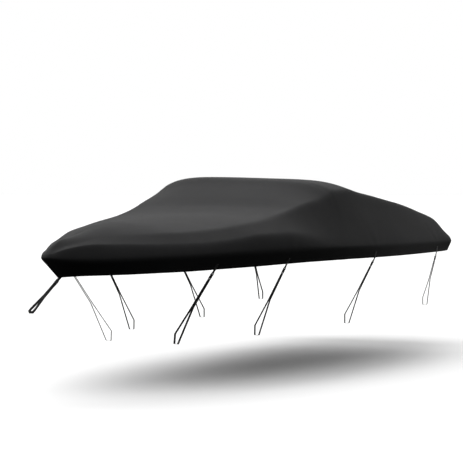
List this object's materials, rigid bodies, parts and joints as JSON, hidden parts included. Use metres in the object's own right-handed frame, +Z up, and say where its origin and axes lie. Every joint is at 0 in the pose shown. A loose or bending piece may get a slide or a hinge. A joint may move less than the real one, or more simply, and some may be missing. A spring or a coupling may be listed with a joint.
{
  "type": "boat cover",
  "caption": "Fitted hull-shaped sheet with a hump over the windscreen and a tucked-in skirt, held down by buckled webbing straps, for keeping a runabout boat dry.",
  "frame": {"origin": "on the sheet's underside, at the top of the hump over the windscreen, where the boat holds the cover up", "axes": "+X to port, +Y aft, +Z up; the bow points along -Y"},
  "size_m": [2.2954, 6.3094, 1.4649],
  "materials": {
    "cover_fabric": "black coated polyester oxford cloth, low sheen",
    "strap_webbing": "black woven polypropylene webbing, matte",
    "buckle_plastic": "black moulded acetal, satin"
  },
  "bodies": {
    "root": {"cover": "cover_fabric", "tab_bow": "strap_webbing", "socket_bow": "buckle_plastic", "plug_bow": "buckle_plastic", "strap_bow": "strap_webbing", "tab_port_a": "strap_webbing", "socket_port_a": "buckle_plastic", "plug_port_a": "buckle_plastic", "strap_port_a": "strap_webbing", "tab_port_b": "strap_webbing", "socket_port_b": "buckle_plastic", "plug_port_b": "buckle_plastic", "strap_port_b": "strap_webbing", "tab_port_c": "strap_webbing", "socket_port_c": "buckle_plastic", "plug_port_c": "buckle_plastic", "strap_port_c": "strap_webbing", "tab_port_d": "strap_webbing", "socket_port_d": "buckle_plastic", "plug_port_d": "buckle_plastic", "strap_port_d": "strap_webbing", "tab_starboard_a": "strap_webbing", "socket_starboard_a": "buckle_plastic", "plug_starboard_a": "buckle_plastic", "strap_starboard_a": "strap_webbing", "tab_starboard_b": "strap_webbing", "socket_starboard_b": "buckle_plastic", "plug_starboard_b": "buckle_plastic", "strap_starboard_b": "strap_webbing", "tab_starboard_c": "strap_webbing", "socket_starboard_c": "buckle_plastic", "plug_starboard_c": "buckle_plastic", "strap_starboard_c": "strap_webbing", "tab_starboard_d": "strap_webbing", "socket_starboard_d": "buckle_plastic", "plug_starboard_d": "buckle_plastic", "strap_starboard_d": "strap_webbing"}
  },
  "joints": []
}
